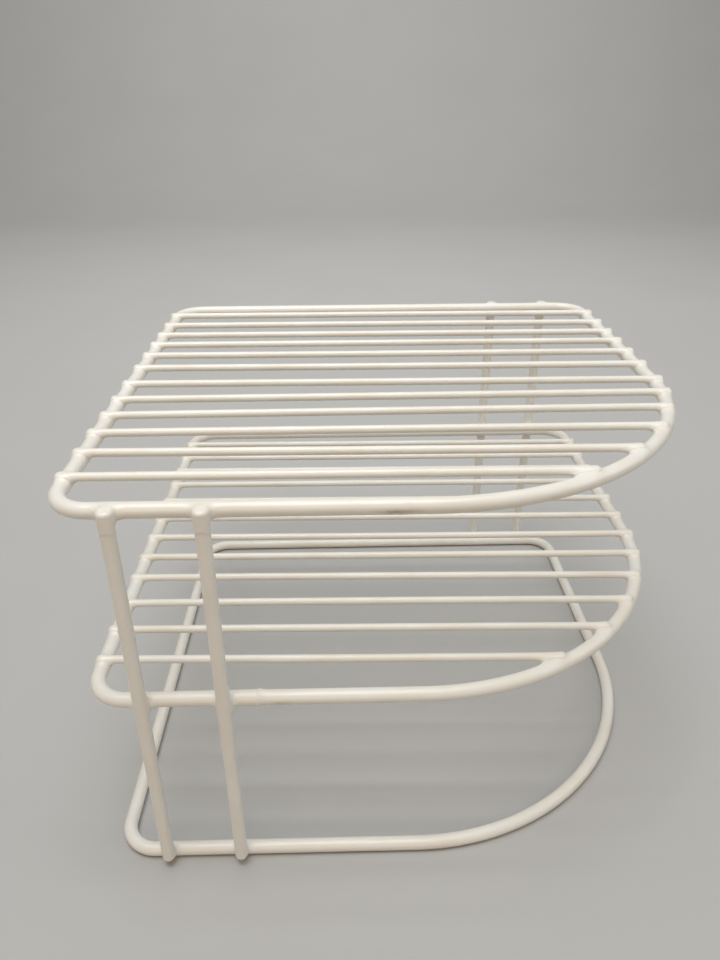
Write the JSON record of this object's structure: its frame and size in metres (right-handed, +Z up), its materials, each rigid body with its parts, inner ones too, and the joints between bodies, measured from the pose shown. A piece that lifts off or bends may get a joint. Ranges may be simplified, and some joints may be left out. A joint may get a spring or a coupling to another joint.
{
  "type": "tiered shelf riser",
  "caption": "Free-standing coated-wire corner shelf riser: wire decks above an open base ring, square in plan with a wide round corner, on paired straight legs.",
  "frame": {"origin": "centre of the plan, on the surface that the base ring stands on", "axes": "+Z up, +X along the front rail to the right, +Y from the front rail to the back rail; the wide round corner is at +X -Y"},
  "size_m": [0.254, 0.2634, 0.1818],
  "materials": {
    "frame_wire": "thick satin ivory coat over steel wire",
    "deck_wire": "thick satin ivory coat over thinner steel wire"
  },
  "bodies": {
    "root": {"base_ring": "frame_wire", "middle_ring": "frame_wire", "top_ring": "frame_wire", "front_leg_outer": "frame_wire", "front_leg_inner": "frame_wire", "back_leg_inner": "frame_wire", "back_leg_outer": "frame_wire", "top_deck_wire_01": "deck_wire", "top_deck_wire_02": "deck_wire", "top_deck_wire_03": "deck_wire", "top_deck_wire_04": "deck_wire", "top_deck_wire_05": "deck_wire", "top_deck_wire_06": "deck_wire", "top_deck_wire_07": "deck_wire", "top_deck_wire_08": "deck_wire", "top_deck_wire_09": "deck_wire", "top_deck_wire_10": "deck_wire", "top_deck_wire_11": "deck_wire", "top_deck_wire_12": "deck_wire", "middle_deck_wire_01": "deck_wire", "middle_deck_wire_02": "deck_wire", "middle_deck_wire_03": "deck_wire", "middle_deck_wire_04": "deck_wire", "middle_deck_wire_05": "deck_wire", "middle_deck_wire_06": "deck_wire", "middle_deck_wire_07": "deck_wire", "middle_deck_wire_08": "deck_wire", "middle_deck_wire_09": "deck_wire", "middle_deck_wire_10": "deck_wire", "middle_deck_wire_11": "deck_wire", "middle_deck_wire_12": "deck_wire"}
  },
  "joints": []
}
